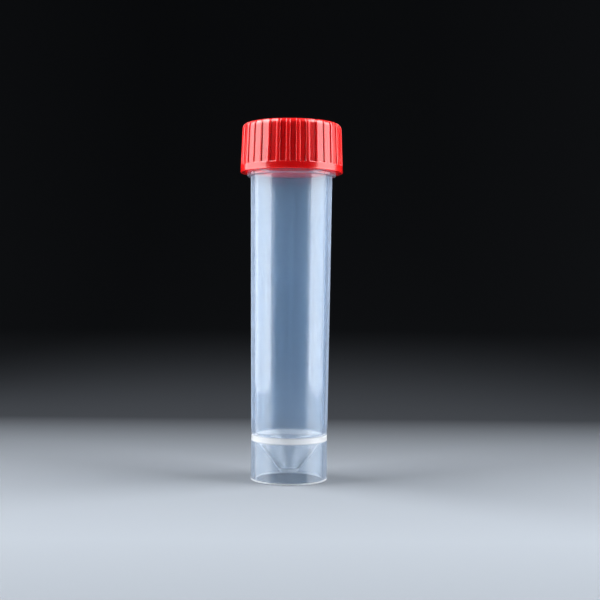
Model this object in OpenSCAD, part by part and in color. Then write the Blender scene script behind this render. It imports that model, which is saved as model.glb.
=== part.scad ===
// Self-standing sample tube with a conical floor and a ribbed screw cap.
// Millimetres. The origin is the centre of the base on the table, and +Z runs up the tube's axis.
// The model shows the cap screwed home on the sealing ring.

/* [Tube] */
// Height of the tube from the table to its rim
tube_h = 104.5; // [80:0.5:140]
// Outside diameter of the barrel just under the collar
barrel_d = 24.5; // [20:0.1:30]
// Outside diameter of the straight standing skirt
skirt_d = 23; // [19:0.1:28]
// Wall thickness of the barrel and the skirt
wall = 1.3; // [1:0.05:1.8]
// Edge break on the rim, the collar and the foot
edge_break = 0.3; // [0.1:0.05:0.4]

/* [Conical floor] */
// Slope of the floor, measured from the tube's axis in degrees
cone_angle = 37.5; // [30:0.5:50]
// Thickness of the floor, square to its slope
floor_t = 1; // [0.8:0.05:2]
// Outside diameter of the flat tip under the cone
tip_d = 5.2; // [4:0.1:8]
// Inside diameter of the flat well at the bottom of the cone
well_d = 4.2; // [2:0.1:6]
// Gap between the tip and the table
tip_gap = 2.4; // [1:0.1:6]

/* [Neck] */
// Height of the collar under the cap
collar_h = 2.6; // [1.5:0.1:4]
// How far the collar stands out from the barrel
collar_step = 1.1; // [0.6:0.05:2]
// How far the threaded neck is set in from the barrel
neck_step = 0.25; // [0.1:0.05:0.4]
// Plain length of neck between the collar and the thread
thread_rise = 2.35; // [1.8:0.05:4]
// Plain length of neck between the thread and the rim
thread_drop = 1.4; // [1.2:0.05:3]

/* [Thread] */
// Lift of the cap in one turn
pitch = 3.5; // [3:0.1:5]
// Turns of thread on the neck and in the cap
turns = 1.5; // [1:0.25:2.5]
// Height of a thread ridge above its wall
thread_depth = 1; // [0.6:0.05:1.4]
// Width of a thread ridge at its wall
ridge_root_w = 1.5; // [1.2:0.05:1.6]
// Width of a thread ridge at its crest
ridge_crest_w = 0.8; // [0.4:0.05:1]
// Angle over which each end of a ridge rises, in degrees
runout_angle = 40; // [20:5:90]
// Radial gap between a crest and the wall that it faces
thread_gap = 0.3; // [0.2:0.05:0.5]
// Gap between the flanks that carry the cap
flank_gap = 0.25; // [0.15:0.05:0.4]

/* [Cap] */
// Thickness of the cap's roof
roof_t = 1.6; // [1:0.1:3]
// Wall of the cap between its bore and the hollows between its grip ribs
cap_wall = 1.65; // [1.2:0.05:2.5]
// How much smaller the cap's radius is at the roof than at the band
cap_draft = 0.5; // [0:0.02:0.6]
// Rounding of the cap's upper edge
cap_round = 1.6; // [0.6:0.1:2]
// Height of the collar that shows under the cap
collar_show = 1; // [0.6:0.1:1.6]
// Gap between the cap's mouth and the collar
mouth_gap = 0.4; // [0.3:0.05:0.6]
// Inside chamfer at the cap's mouth
mouth_chamfer = 0.9; // [0.4:0.1:1]
// How far the lip at the cap's mouth flares out
lip_flare = 0.15; // [0.05:0.05:0.4]
// Height of the flared lip
lip_h = 0.5; // [0.3:0.1:1]

/* [Grip] */
// Number of grip ribs round the cap
rib_count = 32; // [16:1:44]
// Width of a rib along its top
rib_top_w = 0.7; // [0.4:0.05:1]
// Width of a rib at its root
rib_root_w = 1.4; // [1.1:0.05:1.7]
// Height of a rib above the hollows beside it
rib_h = 0.4; // [0.2:0.05:0.7]
// Height of the plain band between the cap's mouth and the ribs
band_h = 2.1; // [1:0.1:5]
// Turn of the first rib from the +X axis, in degrees
rib_phase = -4.3; // [-5.5:0.1:5.5]

/* [Sealing ring] */
// Thickness of the sealing ring
ring_t = 1; // [0.6:0.1:2]
// How far the ring reaches inside the tube's rim
ring_reach = 1.1; // [0.5:0.1:3]
// Gap between the ring and the cap's bore
ring_gap = 0.3; // [0.2:0.05:0.5]
// How far the cap's retaining bead reaches under the ring
bead_bite = 0.4; // [0.2:0.05:0.5]
// Height of the retaining bead
bead_h = 0.8; // [0.5:0.1:1]
// Gap between the retaining bead and the ring
bead_gap = 0.2; // [0.1:0.05:0.3]

/* [Hidden] */
$fn = 96;

// Steps of thread in one turn, how deep a ridge is rooted in its wall, and how deep its ends start
thread_steps = 36;
ridge_root = 0.3;
runout_sink = 0.1;
// Steps in the rounding of the cap's upper edge
round_steps = 8;
// Cutters reach this far past what they cut
past = 1;

// Tube, in radii and heights
barrel_r = barrel_d / 2;
skirt_r = skirt_d / 2;
barrel_bore_r = barrel_r - wall;
skirt_bore_r = skirt_r - wall;
tip_r = tip_d / 2;
well_r = well_d / 2;
floor_rise = floor_t / sin(cone_angle);
floor_z = tip_gap + (skirt_bore_r - tip_r) / tan(cone_angle);
well_z = tip_gap + floor_rise - (tip_r - well_r) / tan(cone_angle);
cone_top_z = well_z + (skirt_bore_r - well_r) / tan(cone_angle);

// Neck and its thread
neck_r = barrel_r - neck_step;
collar_r = barrel_r + collar_step;
crest_r = neck_r + thread_depth;
thread_h = pitch * turns + ridge_root_w;
collar_z = tube_h - thread_drop - thread_h - thread_rise - collar_h;
collar_top_z = collar_z + collar_h;
neck_thread_z = collar_top_z + thread_rise + ridge_root_w / 2;

// Cap, which follows the neck
cap_bore_r = crest_r + thread_gap;
mouth_r = max(collar_r + mouth_gap, cap_bore_r);
mouth_top_z = collar_top_z + mouth_gap;
cap_r = max(cap_bore_r + cap_wall, mouth_r + mouth_chamfer) + rib_h;
cap_z = collar_z + collar_show;
mouth_bevel = min(mouth_chamfer, (mouth_top_z - cap_z) / 2);
roof_z = tube_h + ring_t;
cap_top_z = roof_z + roof_t;
band_z = cap_z + band_h;
draft_angle = atan(cap_draft / (cap_top_z - band_z));

// The hollow between two ribs, across its mouth and along its floor
rib_angle = 360 / rib_count;
hollow_mouth_w = cap_r * rib_angle * PI / 180 - rib_top_w;
hollow_floor_w = (cap_r - rib_h) * rib_angle * PI / 180 - rib_root_w;

// The cap's ridge hangs under the neck's ridge, one flank gap below it
flank_slope = (ridge_root_w - ridge_crest_w) / 2 / thread_depth;
ridge_offset = ridge_root_w - flank_slope * (thread_depth + thread_gap) + flank_gap;
cap_thread_z = neck_thread_z - ridge_offset;

// Sealing ring and the bead that keeps it in the cap
ring_r = cap_bore_r - ring_gap;
ring_bore_r = barrel_bore_r - ring_reach;
bead_r = ring_r - bead_bite;
bead_top_z = tube_h - bead_gap;

// A thread ridge as one closed sweep. Its wall is at wall_r, and out is 1 for a ridge that points
// away from the axis and -1 for one that points towards it. start_z is the middle of its lower end.
module thread_ridge(wall_r, out, start_z) {
    steps = ceil(turns * thread_steps);
    sweep = 360 * turns;
    function rise(a) = min(1, min(a, sweep - a) / runout_angle);
    function ridge_height(a) = rise(a) * (thread_depth + runout_sink) - runout_sink;
    function ridge_point(a, r, dz) = [r * cos(a), r * sin(a), start_z + pitch * a / 360 + dz];
    function section(a) = let (
            root_r = wall_r - out * ridge_root,
            top_r = wall_r + out * ridge_height(a),
            root_half_w = ridge_root_w / 2 + flank_slope * ridge_root,
            top_half_w = ridge_root_w / 2 - flank_slope * ridge_height(a)
        ) [
            ridge_point(a, root_r, -root_half_w),
            ridge_point(a, top_r, -top_half_w),
            ridge_point(a, top_r, top_half_w),
            ridge_point(a, root_r, root_half_w)
        ];
    points = [for (i = [0:steps]) each section(sweep * i / steps)];
    sides = [for (i = [0:steps - 1], k = [0:3])
        let (a = 4 * i + k, b = 4 * i + (k + 1) % 4) each [[a, b, b + 4], [a, b + 4, a + 4]]];
    ends = [[3, 2, 1], [3, 1, 0], [4 * steps, 4 * steps + 1, 4 * steps + 2],
        [4 * steps, 4 * steps + 2, 4 * steps + 3]];
    faces = concat(sides, ends);
    polyhedron(points, out > 0 ? faces : [for (f = faces) [f[2], f[1], f[0]]]);
}

// Half section of the tube: foot, barrel, collar, neck and rim up the outside, then down the bore,
// over the conical floor and back under it inside the skirt.
module tube_section() {
    polygon([
        [skirt_bore_r + edge_break, 0],
        [skirt_r - edge_break, 0],
        [skirt_r, edge_break],
        [skirt_r, cone_top_z],
        [barrel_r, collar_z],
        [collar_r - edge_break, collar_z],
        [collar_r, collar_z + edge_break],
        [collar_r, collar_top_z - edge_break],
        [collar_r - edge_break, collar_top_z],
        [neck_r, collar_top_z],
        [neck_r, tube_h - edge_break],
        [neck_r - edge_break, tube_h],
        [barrel_bore_r + edge_break, tube_h],
        [barrel_bore_r, tube_h - edge_break],
        [barrel_bore_r, collar_z],
        [skirt_bore_r, cone_top_z],
        [well_r, well_z],
        [0, well_z],
        [0, tip_gap],
        [tip_r, tip_gap],
        [skirt_bore_r, floor_z],
        [skirt_bore_r, edge_break]
    ]);
}

// The tube, one moulding in translucent plastic
module tube_body() {
    color([0.78, 0.85, 0.93, 0.45]) union() {
        rotate_extrude() tube_section();
        thread_ridge(neck_r, 1, neck_thread_z);
    }
}

// The ring that the cap presses on the tube's rim
module sealing_ring() {
    color([0.93, 0.93, 0.9]) translate([0, 0, tube_h]) difference() {
        cylinder(r = ring_r, h = ring_t);
        translate([0, 0, -past]) cylinder(r = ring_bore_r, h = ring_t + 2 * past);
    }
}

// Half section of the cap without its thread and hollows, with the bead inside it
module cap_section() {
    roof_r = cap_r - cap_draft;
    upper_edge = [for (i = [0:round_steps]) let (a = 90 * i / round_steps)
        [roof_r - cap_round * (1 - cos(a)), cap_top_z - cap_round * (1 - sin(a))]];
    polygon(concat(
        [
            [mouth_r + mouth_bevel, cap_z],
            [cap_r + lip_flare, cap_z],
            [cap_r, cap_z + lip_h],
            [cap_r, band_z]
        ],
        upper_edge,
        [
            [0, cap_top_z],
            [0, roof_z],
            [cap_bore_r, roof_z],
            [cap_bore_r, bead_top_z],
            [bead_r, bead_top_z],
            [bead_r, bead_top_z - bead_h / 2],
            [cap_bore_r, bead_top_z - bead_h],
            [cap_bore_r, mouth_top_z + mouth_r - cap_bore_r],
            [mouth_r, mouth_top_z],
            [mouth_r, cap_z + mouth_bevel]
        ]
    ));
}

// The hollow between two grip ribs, which leans in with the cap's draft and runs out over its upper edge
module rib_hollow() {
    flare = (hollow_mouth_w - hollow_floor_w) / rib_h;
    outer_w = hollow_mouth_w + flare * past;
    translate([cap_r, 0, band_z]) rotate([0, -draft_angle, 0])
        linear_extrude(height = cap_top_z - band_z + past)
            polygon([
                [-rib_h, -hollow_floor_w / 2],
                [past, -outer_w / 2],
                [past, outer_w / 2],
                [-rib_h, hollow_floor_w / 2]
            ]);
}

// The screw cap, one moulding in red plastic
module screw_cap() {
    color([0.75, 0.04, 0.05]) union() {
        difference() {
            rotate_extrude() cap_section();
            for (i = [0:rib_count - 1])
                rotate([0, 0, rib_phase + (i + 0.5) * rib_angle]) rib_hollow();
        }
        thread_ridge(cap_bore_r, -1, cap_thread_z);
    }
}

tube_body();
sealing_ring();
screw_cap();
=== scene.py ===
# %% [markdown]
# This lesson dresses a self-standing sample tube: a translucent plastic tube with a conical floor,
# and a ribbed red screw cap with a sealing ring under it. The packed model already has every piece
# at its real size, so the first step only loads it and reads its boxes. The sizes could be typed in
# again, but reading them from the frame keeps each dressed piece exactly where its solid is.

# %% Load the frame
import math

import bmesh
import bpy
from mathutils import Matrix, Vector


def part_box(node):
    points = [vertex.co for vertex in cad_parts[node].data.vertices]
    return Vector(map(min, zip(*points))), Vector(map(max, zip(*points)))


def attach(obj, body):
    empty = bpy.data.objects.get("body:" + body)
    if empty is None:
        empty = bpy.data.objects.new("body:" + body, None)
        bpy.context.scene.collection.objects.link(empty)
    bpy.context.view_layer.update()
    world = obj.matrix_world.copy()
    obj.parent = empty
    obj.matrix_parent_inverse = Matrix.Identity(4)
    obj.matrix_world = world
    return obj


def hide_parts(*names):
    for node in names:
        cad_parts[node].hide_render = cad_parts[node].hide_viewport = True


MM = 0.001
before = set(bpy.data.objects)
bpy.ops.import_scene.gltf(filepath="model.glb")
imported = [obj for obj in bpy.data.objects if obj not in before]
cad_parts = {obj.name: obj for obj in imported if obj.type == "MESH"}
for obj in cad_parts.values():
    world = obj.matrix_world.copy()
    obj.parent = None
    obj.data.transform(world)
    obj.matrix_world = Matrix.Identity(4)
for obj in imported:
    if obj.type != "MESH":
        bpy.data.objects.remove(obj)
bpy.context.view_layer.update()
tube_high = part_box("tube_body")[1]
ring_low, ring_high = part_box("sealing_ring")
cap_low, cap_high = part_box("screw_cap")

# %% [markdown]
# The camera stands level with the middle of the tube, a third of a metre away, so that the cap is
# seen slightly from below and the foot slightly from above. A long lens could be guessed by eye, but
# the place, the lens and the small tilts here come from matching the outline of the tube in a
# picture of 600 by 600 pixels.

# %% Camera
PICTURE_PX = 600
FOCAL_PX = 1098
EYE = Vector((0, -331.7, 59.1)) * MM
PAN, TILT, ROLL = (math.radians(angle) for angle in (0.499, -0.843, 0.544))

camera = bpy.data.objects.new("camera", bpy.data.cameras.new("camera"))
bpy.context.scene.collection.objects.link(camera)
camera.data.lens = camera.data.sensor_width * FOCAL_PX / PICTURE_PX
camera.data.clip_start = 10 * MM
facing = Matrix.Rotation(-PAN, 4, "Z") @ Matrix.Rotation(math.pi / 2 + TILT, 4, "X")
camera.matrix_world = Matrix.Translation(EYE) @ facing @ Matrix.Rotation(ROLL, 4, "Z")
bpy.context.scene.camera = camera
bpy.context.scene.view_settings.view_transform = "Standard"
print("lens, mm:", round(camera.data.lens, 1))

# %% [markdown]
# All three pieces are moulded round one axis, so each is drawn as half a section: a list of corners,
# none of which is sharp on a real moulding. A Bevel modifier could round the finished mesh, but it
# treats every edge alike. So the corners are rounded in the drawing, each with its own arc. Guard
# points close to each arc keep the smooth shading of the flat stretches flat.

# %% Rounded outlines
ARC_STEP = math.radians(15)
STRAIGHT = math.radians(89)
GUARD = 0.12 * MM


def round_corners(corners):
    """Points along an outline of (r, z, rounding) corners, with an arc at each rounded corner."""
    outline = [Vector(corners[0][:2])]
    for before, corner, after in zip(corners, corners[1:], corners[2:]):
        here = Vector(corner[:2])
        back = (Vector(before[:2]) - here).normalized()
        on = (Vector(after[:2]) - here).normalized()
        half = back.angle(on) / 2
        if corner[2] == 0 or half > STRAIGHT:
            outline.append(here)
            continue
        centre = here + (back + on).normalized() * corner[2] / math.sin(half)
        first = here + back * corner[2] / math.tan(half) - centre
        sweep = math.pi - 2 * half
        if first.x * (here - centre).y - first.y * (here - centre).x < 0:
            sweep = -sweep
        steps = max(2, math.ceil(abs(sweep) / ARC_STEP))
        outline += [centre + Matrix.Rotation(sweep * i / steps, 2) @ first for i in range(steps + 1)]
    outline.append(Vector(corners[-1][:2]))
    return outline


def divide(outline, longest):
    """The outline with guard points beside its arcs, and no stretch longer than longest(point) asks."""
    points = [outline[0]]
    for start, end in zip(outline, outline[1:]):
        length = (end - start).length
        cuts = []
        if length > 4 * GUARD:
            parts = math.ceil((length - 2 * GUARD) / longest((start + end) / 2))
            cuts = [GUARD + (length - 2 * GUARD) * i / parts for i in range(parts + 1)]
        points += [start.lerp(end, cut / length) for cut in cuts]
        points.append(end)
    return points


print("arcs have a point every", round(math.degrees(ARC_STEP)), "degrees")

# %% [markdown]
# A Screw modifier would turn such an outline about the axis, but the thread and the grip ribs have to
# grow out of the same skin. So a small lathe is written here. It turns the points about Z into one
# smooth mesh, and a shaping function may push each point in or out on the way.

# %% Lathe
TOUCH = 1e-9


def revolve(name, outline, angles, shaped=None):
    """A mesh from an outline of (r, z) points turned about Z, closed if its ends lie on Z or meet."""
    loop = (outline[0] - outline[-1]).length < TOUCH
    surface = bmesh.new()
    rings = []
    for r, z in outline[:-1] if loop else outline:
        if r < TOUCH:
            rings.append([surface.verts.new((0, 0, z))] * len(angles))
            continue
        radii = [shaped(r, z, angle) if shaped else r for angle in angles]
        rings.append([surface.verts.new((reach * math.cos(angle), reach * math.sin(angle), z))
                      for reach, angle in zip(radii, angles)])
    if loop:
        rings.append(rings[0])
    for low, high in zip(rings, rings[1:]):
        for i in range(len(angles)):
            j = (i + 1) % len(angles)
            corners = [low[i], low[j], high[j], high[i]]
            surface.faces.new(list(dict.fromkeys(corners))).smooth = True
    bmesh.ops.recalc_face_normals(surface, faces=surface.faces)
    mesh = bpy.data.meshes.new(name)
    surface.to_mesh(mesh)
    surface.free()
    piece = bpy.data.objects.new(name, mesh)
    bpy.context.scene.collection.objects.link(piece)
    print(name, "has", len(mesh.polygons), "faces")
    return piece


def even_angles(count):
    """Angles all the way round, in even steps."""
    return [math.tau * i / count for i in range(count)]


print("lathe helpers:", revolve.__name__, even_angles.__name__)

# %% [markdown]
# The neck and the cap meet in a coarse screw thread with one and a half turns. A thread could be a
# swept solid joined by a Boolean, but that leaves ragged faces at its ends. Here it is a height over
# the neck's skin instead: each point asks how far it lies from the helix, and rises if it is near.
# The cap's thread is the same rule turned inwards, hanging just under the neck's.

# %% Thread
PITCH = 3.5 * MM
TURNS = 1.5
THREAD_DEPTH = 1.0 * MM
RIDGE_ROOT_W = 1.5 * MM
RIDGE_CREST_W = 0.8 * MM
RUNOUT = math.radians(40)
THREAD_GAP = 0.3 * MM
FLANK_GAP = 0.25 * MM
THREAD_DROP = 1.4 * MM


def ease(start, end, value):
    """0 before start, 1 after end, and a smooth rise between them."""
    share = min(1, max(0, (value - start) / (end - start)))
    return share * share * (3 - 2 * share)


def ridge_height(angle, z, start_z):
    """Height of the thread's ridge at a place on the wall, for a ridge whose lower end is at start_z."""
    tallest = 0
    for turn in range(math.ceil(TURNS)):
        along = angle % math.tau + turn * math.tau
        if along > TURNS * math.tau:
            continue
        off = abs(z - start_z - PITCH * along / math.tau)
        flank = 1 - ease(RIDGE_CREST_W / 2, RIDGE_ROOT_W / 2, off)
        end = ease(0, RUNOUT, min(along, TURNS * math.tau - along))
        tallest = max(tallest, THREAD_DEPTH * flank * end)
    return tallest


neck_thread_z = tube_high.z - THREAD_DROP - RIDGE_ROOT_W / 2 - PITCH * TURNS
flank_slope = (RIDGE_ROOT_W - RIDGE_CREST_W) / 2 / THREAD_DEPTH
ridge_offset = RIDGE_ROOT_W - flank_slope * (THREAD_DEPTH + THREAD_GAP) + FLANK_GAP
cap_thread_z = neck_thread_z - ridge_offset
print("thread rises, mm:", PITCH * TURNS / MM)

# %% [markdown]
# The tube is one moulding: a straight skirt that it stands on, a conical floor hung inside the
# skirt, a barrel that widens a little towards the top, a collar and the neck. Cylinders and a cone
# could be joined, but every seam would show in clear plastic. So its section is one line, from the
# middle of the well up the bore, over the rim and down the outside, then under the foot and back
# along the underside of the cone.

# %% Tube outline
SKIRT_R = 11.5 * MM
BARREL_R = 12.25 * MM
NECK_R = 12.0 * MM
WALL = 1.3 * MM
COLLAR_H = 2.6 * MM
COLLAR_DROP = 13.1 * MM
CONE_ANGLE = math.radians(37.5)
FLOOR_T = 1.0 * MM
TIP_R = 2.6 * MM
WELL_R = 2.1 * MM
TIP_GAP = 2.4 * MM

collar_z = tube_high.z - COLLAR_DROP
skirt_bore_r = SKIRT_R - WALL
barrel_bore_r = BARREL_R - WALL
floor_z = TIP_GAP + (skirt_bore_r - TIP_R) / math.tan(CONE_ANGLE)
well_z = TIP_GAP + FLOOR_T / math.sin(CONE_ANGLE) - (TIP_R - WELL_R) / math.tan(CONE_ANGLE)
cone_top_z = well_z + (skirt_bore_r - WELL_R) / math.tan(CONE_ANGLE)


def tube_corners():
    """Corners (r, z, rounding) of the tube's half section, from the well round to the tip."""
    bore = [
        (0, well_z, 0),
        (WELL_R, well_z, 0.7 * MM),
        (skirt_bore_r, cone_top_z, 1.6 * MM),
        (barrel_bore_r, collar_z, 0),
        (barrel_bore_r, tube_high.z, 0.4 * MM),
    ]
    outside = [
        (NECK_R, tube_high.z, 0.4 * MM),
        (NECK_R, collar_z + COLLAR_H, 0.25 * MM),
        (tube_high.x, collar_z + COLLAR_H, 0.35 * MM),
        (tube_high.x, collar_z, 0.15 * MM),
        (BARREL_R, collar_z, 0.12 * MM),
        (SKIRT_R, cone_top_z, 0),
        (SKIRT_R, 0, 0.3 * MM),
    ]
    under = [
        (skirt_bore_r, 0, 0.3 * MM),
        (skirt_bore_r, floor_z, 0.15 * MM),
        (TIP_R, TIP_GAP, 0.7 * MM),
        (0, TIP_GAP, 0),
    ]
    return bore + outside + under


tube_outline = round_corners(tube_corners())
print("tube outline has", len(tube_outline), "points")

# %% [markdown]
# The thick joint of floor and wall shrinks as it cools, so the skin outside it has a shallow sink
# mark. A sculpted dent would do, but a formula stays even all round. So the sink mark is shaped in
# while the outline is turned, like the thread. Plain stretches of the outline need few points, and
# the neck and the sink mark need many.

# %% Tube
SINK_DEPTH = 0.12 * MM
SINK_H = 3.2 * MM
NECK_STEP = 0.16 * MM
SINK_STEP = 0.4 * MM
PLAIN_STEP = 4 * MM
TUBE_SPOKES = 256
SAME = 0.01 * MM

joint_z = (floor_z + cone_top_z) / 2


def tube_stretch(point):
    """How long a stretch of the tube's outline may be: short where the thread and the sink mark are."""
    on_neck = point.x > barrel_bore_r + WALL / 3 and point.y > collar_z + COLLAR_H
    by_joint = point.x > SKIRT_R - WALL / 3 and point.y < cone_top_z + SINK_H
    return NECK_STEP if on_neck else SINK_STEP if by_joint else PLAIN_STEP


def tube_skin(r, z, angle):
    """The tube's radius with its thread and its sink mark."""
    if r > NECK_R - SAME and z > collar_z + COLLAR_H:
        return r + ridge_height(angle, z, neck_thread_z)
    if r > SKIRT_R - WALL / 3 and abs(z - joint_z) < SINK_H:
        return r - SINK_DEPTH * math.cos((z - joint_z) / SINK_H * math.pi / 2) ** 2
    return r


tube = revolve("tube_shell", divide(tube_outline, tube_stretch), even_angles(TUBE_SPOKES), tube_skin)

# %% [markdown]
# The sealing ring is a flat soft washer that the cap presses on the tube's rim. A torus primitive has
# a round section, and the ring's is flat, so it is a rounded rectangle turned on the same lathe, as a
# closed loop that never meets the axis.

# %% Sealing ring
RING_EDGE = 0.25 * MM
RING_STEP = 1 * MM
RING_SPOKES = 128
RING_OVERHANG = 1.1 * MM

ring_bore_r = barrel_bore_r - RING_OVERHANG
ring_corners = [
    (ring_bore_r, (ring_low.z + ring_high.z) / 2, 0),
    (ring_bore_r, ring_low.z, RING_EDGE),
    (ring_high.x, ring_low.z, RING_EDGE),
    (ring_high.x, ring_high.z, RING_EDGE),
    (ring_bore_r, ring_high.z, RING_EDGE),
    (ring_bore_r, (ring_low.z + ring_high.z) / 2, 0),
]
ring_outline = divide(round_corners(ring_corners), lambda point: RING_STEP)
ring = revolve("seal_ring", ring_outline, even_angles(RING_SPOKES))

# %% [markdown]
# The cap is a moulding with a rounded upper edge, a plain band and a small lip at its mouth. Inside,
# the mouth leaves room for the collar, a narrower bore carries the thread, and a bead under the roof
# keeps the sealing ring in. A cup with a Solidify modifier would be quick, but the inside of a cap
# isn't an offset of its outside. So the section is drawn all round, with the mark of the mould's
# gate in the middle of the top.

# %% Cap outline
BAND_H = 2.1 * MM
LEDGE_H = 0.12 * MM
LIP_FLARE = 0.15 * MM
LIP_H = 0.5 * MM
CAP_DRAFT = 0.5 * MM
CAP_ROUND = 1.6 * MM
MOUTH_GAP = 0.4 * MM
MOUTH_CHAMFER = 0.9 * MM
RING_GAP = 0.3 * MM
BEAD_BITE = 0.4 * MM
BEAD_H = 0.8 * MM
BEAD_GAP = 0.2 * MM
GATE_R = 1.2 * MM
GATE_DEPTH = 0.15 * MM

cap_r = cap_high.x - LIP_FLARE
roof_r = cap_r - CAP_DRAFT
cap_bore_r = NECK_R + THREAD_DEPTH + THREAD_GAP
mouth_r = tube_high.x + MOUTH_GAP
mouth_top_z = collar_z + COLLAR_H + MOUTH_GAP
band_z = cap_low.z + BAND_H
bead_r = cap_bore_r - RING_GAP - BEAD_BITE
bead_top_z = tube_high.z - BEAD_GAP


def cap_corners():
    """Corners (r, z, rounding) of the cap's half section, from the top's middle round to the roof's."""
    outside = [
        (0, cap_high.z - GATE_DEPTH, 0),
        (GATE_R, cap_high.z - GATE_DEPTH, 0.1 * MM),
        (GATE_R + GATE_DEPTH, cap_high.z, 0.1 * MM),
        (roof_r, cap_high.z, CAP_ROUND),
        (cap_r, band_z + LEDGE_H, 0),
        (cap_r, band_z, 0),
        (cap_r, cap_low.z + LIP_H, 0.4 * MM),
        (cap_r + LIP_FLARE, cap_low.z, 0.25 * MM),
    ]
    mouth = [
        (mouth_r + MOUTH_CHAMFER, cap_low.z, 0.2 * MM),
        (mouth_r, cap_low.z + MOUTH_CHAMFER, 0.2 * MM),
        (mouth_r, mouth_top_z, 0.1 * MM),
        (cap_bore_r, mouth_top_z + mouth_r - cap_bore_r, 0.1 * MM),
    ]
    inside = [
        (cap_bore_r, bead_top_z - BEAD_H, 0.1 * MM),
        (bead_r, bead_top_z - BEAD_H / 2, 0.12 * MM),
        (bead_r, bead_top_z, 0.12 * MM),
        (cap_bore_r, bead_top_z, 0.1 * MM),
        (cap_bore_r, ring_high.z, 0.3 * MM),
        (0, ring_high.z, 0),
    ]
    return outside + mouth + inside


cap_outline = round_corners(cap_corners())
print("cap outline has", len(cap_outline), "points")

# %% [markdown]
# Narrow raised ribs give the fingers a grip. They could be an Array of small blocks, but real ones
# run into the skin with soft roots, so they are shaped like the thread: the hollows between them are
# pressed in, and end on a small ledge over the band. The lathe gets more points where a rib's flank
# rises and fewer along the hollows.

# %% Cap
RIB_COUNT = 32
RIB_TOP_W = 0.84 * MM
RIB_ROOT_W = 1.36 * MM
RIB_H = 0.4 * MM
RIB_CROWN = 0.08 * MM
RIB_PHASE = math.radians(-4.3)
FLANK_SHARES = (0, 0.15, 0.3, 0.5, 0.7, 0.85, 1.0, 1.3)
HOLLOW_FADE = 0.3 * MM
UNDER_LEDGE = 0.2 * MM
NEAR_BORE = 0.1 * MM
BORE_STEP = 0.2 * MM
RIB_STEP = 0.5 * MM
ROOF_STEP = 3 * MM

rib_angle = math.tau / RIB_COUNT


def cap_stretch(point):
    """How long a stretch of the cap's outline may be: short at the thread and where the ribs end."""
    if abs(point.x - cap_bore_r) < NEAR_BORE:
        return BORE_STEP
    return RIB_STEP if point.x > roof_r - CAP_DRAFT else ROOF_STEP


def cap_angles():
    """Angles round the cap, with points gathered where the flanks of the ribs rise."""
    half = rib_angle / 2
    flank = [RIB_TOP_W / 2 + (RIB_ROOT_W - RIB_TOP_W) / 2 * share for share in FLANK_SHARES]
    beside = [side * off / cap_r for side in (-1, 1) for off in [RIB_TOP_W / 4] + flank]
    beside = sorted(beside + [0])
    return [RIB_PHASE + rib_angle * rib + angle for rib in range(RIB_COUNT) for angle in [-half] + beside]


def cap_skin(r, z, angle):
    """The cap's radius with the hollows between its ribs, or with its thread inside."""
    if abs(r - cap_bore_r) < SAME:
        return r - ridge_height(angle, z, cap_thread_z)
    if r < cap_bore_r or z < band_z - UNDER_LEDGE:
        return r
    drafted = cap_r - CAP_DRAFT * (z - band_z) / (cap_high.z - band_z)
    fade = 1 - ease(HOLLOW_FADE, CAP_ROUND - HOLLOW_FADE, drafted - r)
    depth = RIB_H * fade * ease(band_z, band_z + LEDGE_H, z)
    off = abs((angle - RIB_PHASE + rib_angle / 2) % rib_angle - rib_angle / 2) * cap_r
    crown = RIB_CROWN / RIB_H * min(1, off / (RIB_TOP_W / 2)) ** 2
    return r - depth * max(crown, ease(RIB_TOP_W / 2, RIB_ROOT_W / 2, off))


cap = revolve("cap_shell", divide(cap_outline, cap_stretch), cap_angles(), cap_skin)

# %% [markdown]
# Each dressed piece now takes the place of its solid. Parenting by hand would also move the pieces,
# but riding on a body lets them follow the joints: the ring rises with the cap, and the cap turns as
# it rises.

# %% Ride and replace
for piece, body, node, slot in (
    (tube, "tube", "tube_body", "tube_plastic"),
    (ring, "seal", "sealing_ring", "seal_silicone"),
    (cap, "cap", "screw_cap", "cap_plastic"),
):
    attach(piece, body)
    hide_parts(node)
print("pieces:", [piece.name for piece in (tube, ring, cap)])

# %% [markdown]
# Every finish below starts the same way: an empty node tree with an output, and a noise that is read
# in the piece's own coordinates, in metres. Stretching the coordinates first turns round blotches
# into streaks. The trees could be wired one link at a time, but a small class with a call for each
# kind of node keeps the finishes short enough to read.

# %% Node helpers


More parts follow.
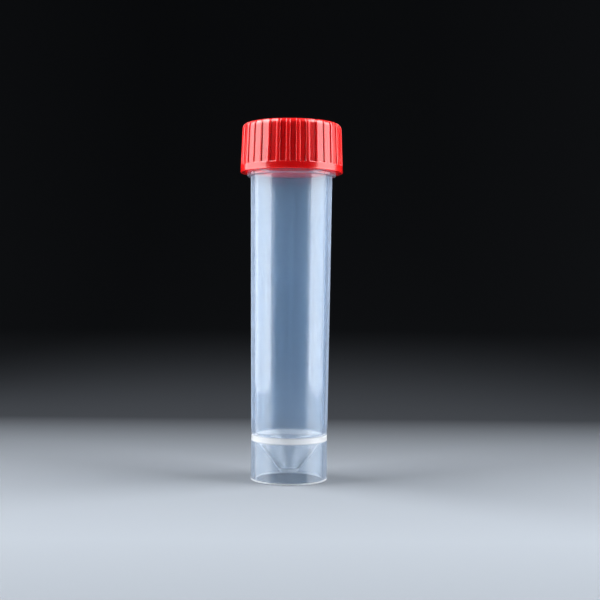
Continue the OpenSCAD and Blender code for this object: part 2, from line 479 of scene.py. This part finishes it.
class Finish:
    """A material under construction, with short calls for the nodes that the finishes share."""

    def __init__(self, name):
        self.material = bpy.data.materials.new(name)
        self.material.use_nodes = True
        self.tree = self.material.node_tree
        self.tree.nodes.clear()
        self.output = self.add("ShaderNodeOutputMaterial")
        self.place = self.add("ShaderNodeTexCoord").outputs["Object"]

    def put(self, value, socket):
        """Links a socket's value to another socket, or sets it."""
        if isinstance(value, bpy.types.NodeSocket):
            self.tree.links.new(value, socket)
        else:
            socket.default_value = value

    def add(self, kind, **inputs):
        """A new node, with its inputs given by name and _ for a space."""
        node = self.tree.nodes.new(kind)
        for name, value in inputs.items():
            self.put(value, node.inputs[name.replace("_", " ")])
        return node

    def noise(self, size, detail=3.0):
        """A noise between 0 and 1 whose blotches are about size = (x, y, z) metres across."""
        stretched = self.add("ShaderNodeMapping", Vector=self.place, Scale=[1 / side for side in size])
        grain = self.add("ShaderNodeTexNoise", Vector=stretched.outputs["Vector"], Scale=1.0, Detail=detail)
        return grain.outputs["Fac"]

    def spread(self, source, low, high, start=0.3, end=0.7):
        """The source's values from start to end, spread from low to high."""
        ranged = self.add("ShaderNodeMapRange", Value=source)
        for socket, value in zip(ranged.inputs[1:5], (start, end, low, high)):
            socket.default_value = value
        return ranged.outputs["Result"]

    def ramp(self, source, stops):
        """A colour ramp over a value from 0 to 1, with (position, colour) stops in rising order."""
        node = self.add("ShaderNodeValToRGB", Fac=source)
        elements = node.color_ramp.elements
        elements.remove(elements[1])
        elements[0].position, elements[0].color = stops[0]
        for position, colour in stops[1:]:
            elements.new(position).color = colour
        return node.outputs["Color"]

    def math(self, operation, first, second=0.0):
        """One sum or comparison of two values."""
        node = self.add("ShaderNodeMath")
        node.operation = operation
        self.put(first, node.inputs[0])
        self.put(second, node.inputs[1])
        return node.outputs["Value"]

    def mix(self, share, first, second):
        """Two shaders mixed, with a share of the second."""
        node = self.add("ShaderNodeMixShader", Fac=share)
        self.put(first, node.inputs[1])
        self.put(second, node.inputs[2])
        return node.outputs["Shader"]

    def bump(self, source, height):
        """A normal for a skin with hills of this height, in metres."""
        return self.add("ShaderNodeBump", Height=source, Distance=height, Strength=1.0).outputs["Normal"]

    def wear(self, piece, shader):
        """Ends the finish with a shader and puts it on a piece."""
        self.put(shader, self.output.inputs["Surface"])
        piece.data.materials.clear()
        piece.data.materials.append(self.material)
        print(piece.name, "wears", self.material.name)


print("node helpers:", [call for call in vars(Finish) if not call.startswith("_")])

# %% [markdown]
# Natural polypropylene is clear with a milky, slightly blue haze, because fine crystals in it
# scatter light. A Volume Scatter inside the wall would be the full answer, but it is slow and grainy.
# So the plastic mixes a clear shader with a milky one, and the share of milk follows the plastic's
# thickness, except under the cap, where a lower share is painted shade. This cell finds the parts
# of the moulding by height and by distance from the axis, so that one material can change from one
# to the next.

# %% Places on the tube
HAZE_EDGE = 0.3 * MM
INNER_JOINT = 0.06


def height(finish):
    """How high a place is over the foot, in metres."""
    return finish.add("ShaderNodeSeparateXYZ", Vector=finish.place).outputs["Z"]


def radius(finish):
    """How far a place is from the tube's axis, in metres."""
    flat = finish.add("ShaderNodeVectorMath")
    flat.operation = "MULTIPLY"
    finish.put(finish.place, flat.inputs[0])
    finish.put((1, 1, 0), flat.inputs[1])
    reach = finish.add("ShaderNodeVectorMath")
    reach.operation = "LENGTH"
    finish.put(flat.outputs["Vector"], reach.inputs[0])
    return reach.outputs["Value"]


plastic = Finish("natural_polypropylene")
up_tube = plastic.spread(height(plastic), 0, 1, 0, tube_high.z)
on_wall = plastic.spread(radius(plastic), 0, 1, skirt_bore_r - HAZE_EDGE, skirt_bore_r - HAZE_EDGE / 3)
in_cone = plastic.math("SUBTRACT", 1.0, on_wall)
on_skin = plastic.spread(radius(plastic), INNER_JOINT, 1, SKIRT_R - 2 * HAZE_EDGE, SKIRT_R - HAZE_EDGE)
print("milky joint, mm:", round(floor_z / MM, 2), "to", round(cone_top_z / MM, 2))

# %% [markdown]
# Under the cap the wall gets hardly any milk. This is painted shade: the plastic there is the same as
# the wall's, and the lower milk stands in for the cap's shade on the neck. There is a little milk in
# the skirt, the cone and the barrel, more along the collar's edge, and most where the floor joins the
# wall, at the foot and at the tip. It could be painted as a vertex colour, but stops on a Color Ramp
# over the height follow the tube's own sizes. Long faint streaks up the barrel come from the way the
# plastic flowed in the mould.

# %% Haze by place
WALL_HAZE = 0.15
# painted shade: the neck under the cap gets less milk than the wall, because the cap shades it
SHADED_NECK_HAZE = 0.05
SKIRT_HAZE = 0.1
CONE_HAZE = 0.12
TIP_HAZE = 0.9
FOOT_HAZE = 0.85
JOINT_HAZE = 0.92
COLLAR_HAZE = 0.4
FOOT_MILK_H = 0.5 * MM
SKIRT_FADE = 5 * MM
STREAK_SWING = (0.85, 1.15)


def haze_up_tube(*stops):
    """A haze that goes through (height, share) stops, from the foot up."""
    return plastic.ramp(up_tube, [(z / tube_high.z, (share, share, share, 1)) for z, share in stops])


streaks = plastic.noise((0.9 * MM, 0.9 * MM, 60 * MM), 1.0)
wall_haze = haze_up_tube(
    (0, SKIRT_HAZE),
    (cone_top_z, SKIRT_HAZE),
    (cone_top_z + SKIRT_FADE, WALL_HAZE),
    (collar_z - HAZE_EDGE, WALL_HAZE),
    (collar_z, SHADED_NECK_HAZE),
)
thick_haze = haze_up_tube(
    (0, FOOT_HAZE),
    (FOOT_MILK_H, FOOT_HAZE),
    (FOOT_MILK_H + HAZE_EDGE, 0),
    (floor_z - 2 * HAZE_EDGE, 0),
    (floor_z - HAZE_EDGE, JOINT_HAZE),
    (cone_top_z - HAZE_EDGE, JOINT_HAZE),
    (cone_top_z + HAZE_EDGE / 3, 0),
    (collar_z - HAZE_EDGE / 3, 0),
    (collar_z, COLLAR_HAZE),
    (collar_z + HAZE_EDGE, COLLAR_HAZE),
    (collar_z + 2 * HAZE_EDGE, 0),
)
wall_haze = plastic.math("MULTIPLY", wall_haze, plastic.spread(streaks, *STREAK_SWING))
wall_haze = plastic.math("MULTIPLY", wall_haze, on_wall)
thick_haze = plastic.math("MULTIPLY", thick_haze, on_skin)
cone_haze = plastic.math("MULTIPLY", in_cone, CONE_HAZE)
tip_haze = plastic.spread(height(plastic), TIP_HAZE, 0, well_z, well_z + 2 * HAZE_EDGE)
tip_haze = plastic.math("MULTIPLY", tip_haze, in_cone)
print("haze, from neck to joint:", SHADED_NECK_HAZE, "to", JOINT_HAZE)

# %% [markdown]
# Light that crosses a wall at a slant goes through more of it, so clear plastic looks milkier along
# its outlines, and the cone's outline shows as a bright line. Where the plastic is milky all through,
# the gloss of its skin takes over there instead. Real thickness could be found by ray tracing, but
# Layer Weight's Facing gives that slant for free: 0 for a face seen head on, 1 for one seen edge on.

# %% Haze by slant
CLOUD_SWING = (0.9, 1.1)
SLANT_GAIN, GAIN_SLANTS = 3.0, (0.2, 1.0)
EDGE_LOSS, LOSS_SLANTS = 0.6, (0.2, 0.85)
CONE_OUTLINE, OUTLINE_SLANTS = 0.9, (0.6, 0.95)

cloud = plastic.noise((7 * MM, 7 * MM, 14 * MM))
slant = plastic.add("ShaderNodeLayerWeight", Blend=0.5).outputs["Facing"]
haze = plastic.math("MAXIMUM", wall_haze, cone_haze)
haze = plastic.math("MULTIPLY", haze, plastic.spread(cloud, *CLOUD_SWING))
haze = plastic.math("MULTIPLY", haze, plastic.spread(slant, 1, SLANT_GAIN, *GAIN_SLANTS))
milky = plastic.math("MULTIPLY", thick_haze, plastic.spread(slant, 1, EDGE_LOSS, *LOSS_SLANTS))
haze = plastic.math("MAXIMUM", haze, milky)
cone_outline = plastic.math("MULTIPLY", plastic.spread(slant, 0, CONE_OUTLINE, *OUTLINE_SLANTS), in_cone)
haze = plastic.math("MAXIMUM", haze, plastic.math("MAXIMUM", cone_outline, tip_haze))
print("a wall seen edge on is", SLANT_GAIN, "times as milky")

# %% [markdown]
# The milk itself is bounced and passed light: a Diffuse and a Translucent shader. Subsurface
# scattering would blur light along the wall as well, but the wall is too thin to show it. Thin
# plastic scatters mostly blue, a wall seen at a slant is paler, and thick plastic is nearly white.
# The clear share is a Principled shader with full Transmission, slightly rough along the streaks.

# %% Tube plastic
THIN_MILK = (0.46, 0.7, 1.0, 1)
EDGE_MILK = (0.6, 0.69, 0.85, 1)
THICK_MILK = (0.96, 0.98, 1.0, 1)
THIN_AT, EDGE_AT, THICK_AT = 0.1, 0.35, 0.6
PALE_SLANTS = (0.3, 0.6)
PASSED_SHARE = 0.4
CLEAR_TINT = (0.94, 0.97, 1.0, 1)
STREAK_H = 0.001 * MM

thickness = plastic.math("MAXIMUM", plastic.spread(slant, 0, EDGE_AT, *PALE_SLANTS), in_cone)
thickness = plastic.math("MAXIMUM", thickness, thick_haze)
milk_colour = plastic.ramp(thickness, ((THIN_AT, THIN_MILK), (EDGE_AT, EDGE_MILK), (THICK_AT, THICK_MILK)))
skin = plastic.bump(streaks, STREAK_H)
clear = plastic.add(
    "ShaderNodeBsdfPrincipled",
    Base_Color=CLEAR_TINT,
    Roughness=plastic.spread(streaks, 0.05, 0.1),
    IOR=1.49,
    Normal=skin,
    Transmission_Weight=1.0,
)
bounced = plastic.add("ShaderNodeBsdfDiffuse", Color=milk_colour, Normal=skin)
passed = plastic.add("ShaderNodeBsdfTranslucent", Color=milk_colour, Normal=skin)
milk = plastic.mix(PASSED_SHARE, bounced.outputs["BSDF"], passed.outputs["BSDF"])
plastic.wear(tube, plastic.mix(haze, clear.outputs["BSDF"], milk))

# %% [markdown]
# The cap is red plastic with a polished mould finish. Its pigment lets a little light through, so
# the creases beside the ribs stay red, and the inside of the mouth glows where light gets in from
# below. A second, translucent shader could be mixed in, but one Principled shader can do this with
# its Subsurface values, set stronger inside than on the outer skin. The coat stands for the smooth
# skin over slightly rougher pigment, and slow noise shifts the red and the gloss a little.

# %% Cap plastic
DEEP_RED = (0.52, 0.003, 0.004, 1)
WARM_RED = (0.6, 0.005, 0.005, 1)
RED_REACH = 1.8 * MM
OTHER_REACH = 0.12 * MM
SKIN_GLOW, INSIDE_GLOW = 0.8, 1.0
INSIDE_GAIN = 8.0
INSIDE_EDGE = 0.35 * MM
INSIDE_FADE = 0.2 * MM
GRAIN_H = 0.0004 * MM

red_plastic = Finish("glossy_red_plastic")
shade = red_plastic.noise((3 * MM, 3 * MM, 8 * MM))
fine = red_plastic.noise((0.25 * MM, 0.25 * MM, 0.25 * MM))
skin_start = mouth_r + INSIDE_EDGE
skin_end = skin_start + INSIDE_FADE
from_axis = radius(red_plastic)
red = red_plastic.add(
    "ShaderNodeBsdfPrincipled",
    Base_Color=red_plastic.ramp(shade, ((0.3, DEEP_RED), (0.7, WARM_RED))),
    Roughness=red_plastic.spread(shade, 0.18, 0.26),
    IOR=1.5,
    Normal=red_plastic.bump(fine, GRAIN_H),
    Subsurface_Weight=red_plastic.spread(from_axis, INSIDE_GLOW, SKIN_GLOW, skin_start, skin_end),
    Subsurface_Radius=[RED_REACH, OTHER_REACH, OTHER_REACH],
    Subsurface_Scale=red_plastic.spread(from_axis, INSIDE_GAIN, 1.0, skin_start, skin_end),
    Coat_Weight=0.25,
    Coat_Roughness=0.06,
)
red_plastic.wear(cap, red.outputs["BSDF"])

# %% [markdown]
# The ring is milky silicone: satin, soft to the light, and a little cloudy. It could have a mix of
# shaders as the tube has, but it only shows when the cap is off. So one Principled shader with some
# Subsurface and a fine mottle is enough.

# %% Seal silicone
MILKY_WHITE = (0.86, 0.86, 0.83, 1)
SILICONE_REACH = 0.6 * MM
MOTTLE_H = 0.006 * MM

silicone = Finish("milky_silicone")
mottle = silicone.noise((1.2 * MM, 1.2 * MM, 1.2 * MM))
soft = silicone.add(
    "ShaderNodeBsdfPrincipled",
    Base_Color=MILKY_WHITE,
    Roughness=silicone.spread(mottle, 0.42, 0.55),
    Normal=silicone.bump(mottle, MOTTLE_H),
    Subsurface_Weight=0.25,
    Subsurface_Radius=[SILICONE_REACH] * 3,
    Subsurface_Scale=1.0,
)
silicone.wear(ring, soft.outputs["BSDF"])

# %% [markdown]
# A pale sweep is floor and backdrop in one: flat under the tube, then curved up all round. A plane
# and a wall would be quicker, but then every view meets the line where they join. The same lathe
# turns the sweep, from an outline of three corners.

# %% Sweep
SWEEP_R, SWEEP_TOP, SWEEP_BEND = 1.6, 1.2, 0.5
SWEEP_SPOKES = 96

sweep_outline = round_corners([(0, 0, 0), (SWEEP_R, 0, SWEEP_BEND), (SWEEP_R, SWEEP_TOP, 0)])
sweep = revolve("board_sweep", sweep_outline, even_angles(SWEEP_SPOKES))

# %% [markdown]
# The board darkens towards the back and the sides, because clear plastic shows its bright edges best
# against a dark ground. Two boards could meet there, but a fade leaves no line. The tube stands on a
# lacquered board, which carries the lights on below their lower edge in the tube's reflections. To a
# ray that comes straight from the camera, or from there through clear plastic alone, the board is
# satin, so that no lamp burns out on the floor in another view.

# %% Board finish
PALE_BOARD = (0.31, 0.34, 0.38, 1)
DARK_BOARD = (0.03, 0.033, 0.038, 1)
FADE_START, FADE_END = -0.08, 0.15
SIDE_LATER = 0.26


def seen_direct(finish):
    """1 for the camera's own rays, also behind clear plastic, and 0 for light and reflections."""
    path = finish.add("ShaderNodeLightPath").outputs
    from_camera = finish.math("ADD", path["Is Camera Ray"], path["Is Transmission Ray"])
    bounces = finish.math("ADD", path["Diffuse Depth"], path["Glossy Depth"])
    return finish.math("GREATER_THAN", from_camera, bounces)


board = Finish("pale_board")
grain = board.noise((0.6 * MM, 0.6 * MM, 0.6 * MM))
sweep_place = board.add("ShaderNodeSeparateXYZ", Vector=board.place)
sideways = board.math("SUBTRACT", board.math("ABSOLUTE", sweep_place.outputs["X"]), SIDE_LATER)
outwards = board.math("MAXIMUM", sweep_place.outputs["Y"], sideways)
along_board = board.math("ADD", outwards, sweep_place.outputs["Z"])
fade = board.spread(along_board, 0, 1, FADE_START, FADE_END)
board_colour = board.ramp(fade, ((0.0, PALE_BOARD), (1.0, DARK_BOARD)))
lacquer = board.add(
    "ShaderNodeBsdfPrincipled",
    Base_Color=board_colour,
    Roughness=board.spread(grain, 0.08, 0.12),
    IOR=1.6,
)
satin = board.add("ShaderNodeBsdfDiffuse", Color=board_colour, Roughness=board.spread(grain, 0.2, 0.4))
board.wear(sweep, board.mix(seen_direct(board), lacquer.outputs["BSDF"], satin.outputs["BSDF"]))

# %% [markdown]
# Two tall softboxes stand left and right of the tube, so that their reflections run down the tube
# and the cap as two bright bands and leave the front darker. They are placed by the angles that their
# near and far edges make with the view. An area light would do for the whole height, but it looks the
# same to every ray. So the lower part of each softbox is a glowing panel, whose shader can tell rays
# apart: straight behind clear plastic, as in a view from the side, it shows dim, and it lights and
# mirrors at full strength. It fades towards the back, which keeps the bands even where the wall turns
# away, and it glows on both faces, so that the floor has no hard line along its foot.

# %% Light panels
SOFTBOX_AWAY = 0.24
SOFTBOX_SIDES = {"left": (-1, 58, 126), "right": (1, 57, 114)}
PANEL_TOP = 0.2
PANEL_GLOW = 5.4
SEEN_THROUGH = 0.35
FAR_SHARE, FAR_FADE = 0.6, (-0.03, 0.08)


def edges_along_y(edge_angles):
    """Where a softbox starts and ends along Y, from the angles of its edges in degrees."""
    return [-SOFTBOX_AWAY / math.tan(math.radians(angle)) for angle in edge_angles]


def light_panel(name, side, near, far):
    """An upright panel on the floor, to one side of the tube."""
    rim = ((near, 0), (far, 0), (far, PANEL_TOP), (near, PANEL_TOP))
    mesh = bpy.data.meshes.new(name)
    mesh.from_pydata([(side * SOFTBOX_AWAY, y, z) for y, z in rim], [], [range(4)])
    panel = bpy.data.objects.new(name, mesh)
    panel.visible_camera = False
    bpy.context.scene.collection.objects.link(panel)
    return panel


glow = Finish("panel_glow")
strength = glow.spread(seen_direct(glow), PANEL_GLOW, SEEN_THROUGH, 0, 1)
along_panel = glow.add("ShaderNodeSeparateXYZ", Vector=glow.place).outputs["Y"]
strength = glow.math("MULTIPLY", strength, glow.spread(along_panel, 1, FAR_SHARE, *FAR_FADE))
panel_light = glow.add("ShaderNodeEmission", Strength=strength).outputs["Emission"]
for name, (side, *edge_angles) in SOFTBOX_SIDES.items():
    glow.wear(light_panel(name + "_panel", side, *edges_along_y(edge_angles)), panel_light)

# %% [markdown]
# The upper part of each softbox is a plain area light, because no view looks straight at it. It lights
# the rounded edge of the cap, and the inside of the tube from above. Its power is worked out from how
# bright its face should be, so that the brightness stays the same when the size changes.

# %% Softboxes
SOFTBOX_TOP = 0.8
SOFTBOX_GLOW = 8.6


def softbox(name, side, near, far):
    """An upright area light over a panel."""
    light = bpy.data.lights.new(name, "AREA")
    light.shape = "RECTANGLE"
    light.size = far - near
    light.size_y = SOFTBOX_TOP - PANEL_TOP
    light.energy = SOFTBOX_GLOW * math.pi * light.size * light.size_y
    lamp = bpy.data.objects.new(name, light)
    lamp.location = (side * SOFTBOX_AWAY, (near + far) / 2, (PANEL_TOP + SOFTBOX_TOP) / 2)
    lamp.rotation_euler = (math.pi / 2, 0, side * math.pi / 2)
    lamp.visible_camera = False
    bpy.context.scene.collection.objects.link(lamp)
    print(name, "is", round(light.size, 2), "by", round(light.size_y, 2), "m")


for name, (side, *edge_angles) in SOFTBOX_SIDES.items():
    softbox(name + "_softbox", side, *edges_along_y(edge_angles))

# %% [markdown]
# A real room throws a little light back from every side. A third lamp would add another highlight to
# the plastic, so a dim, even world fills the shadows instead.

# %% World
WORLD_TINT = (0.97, 0.98, 1.0, 1)
WORLD_GLOW = 0.1

world = bpy.data.worlds.new("dim_room")
world.use_nodes = True
world.node_tree.nodes["Background"].inputs["Color"].default_value = WORLD_TINT
world.node_tree.nodes["Background"].inputs["Strength"].default_value = WORLD_GLOW
bpy.context.scene.world = world
print("world:", world.name)

# %% [markdown]
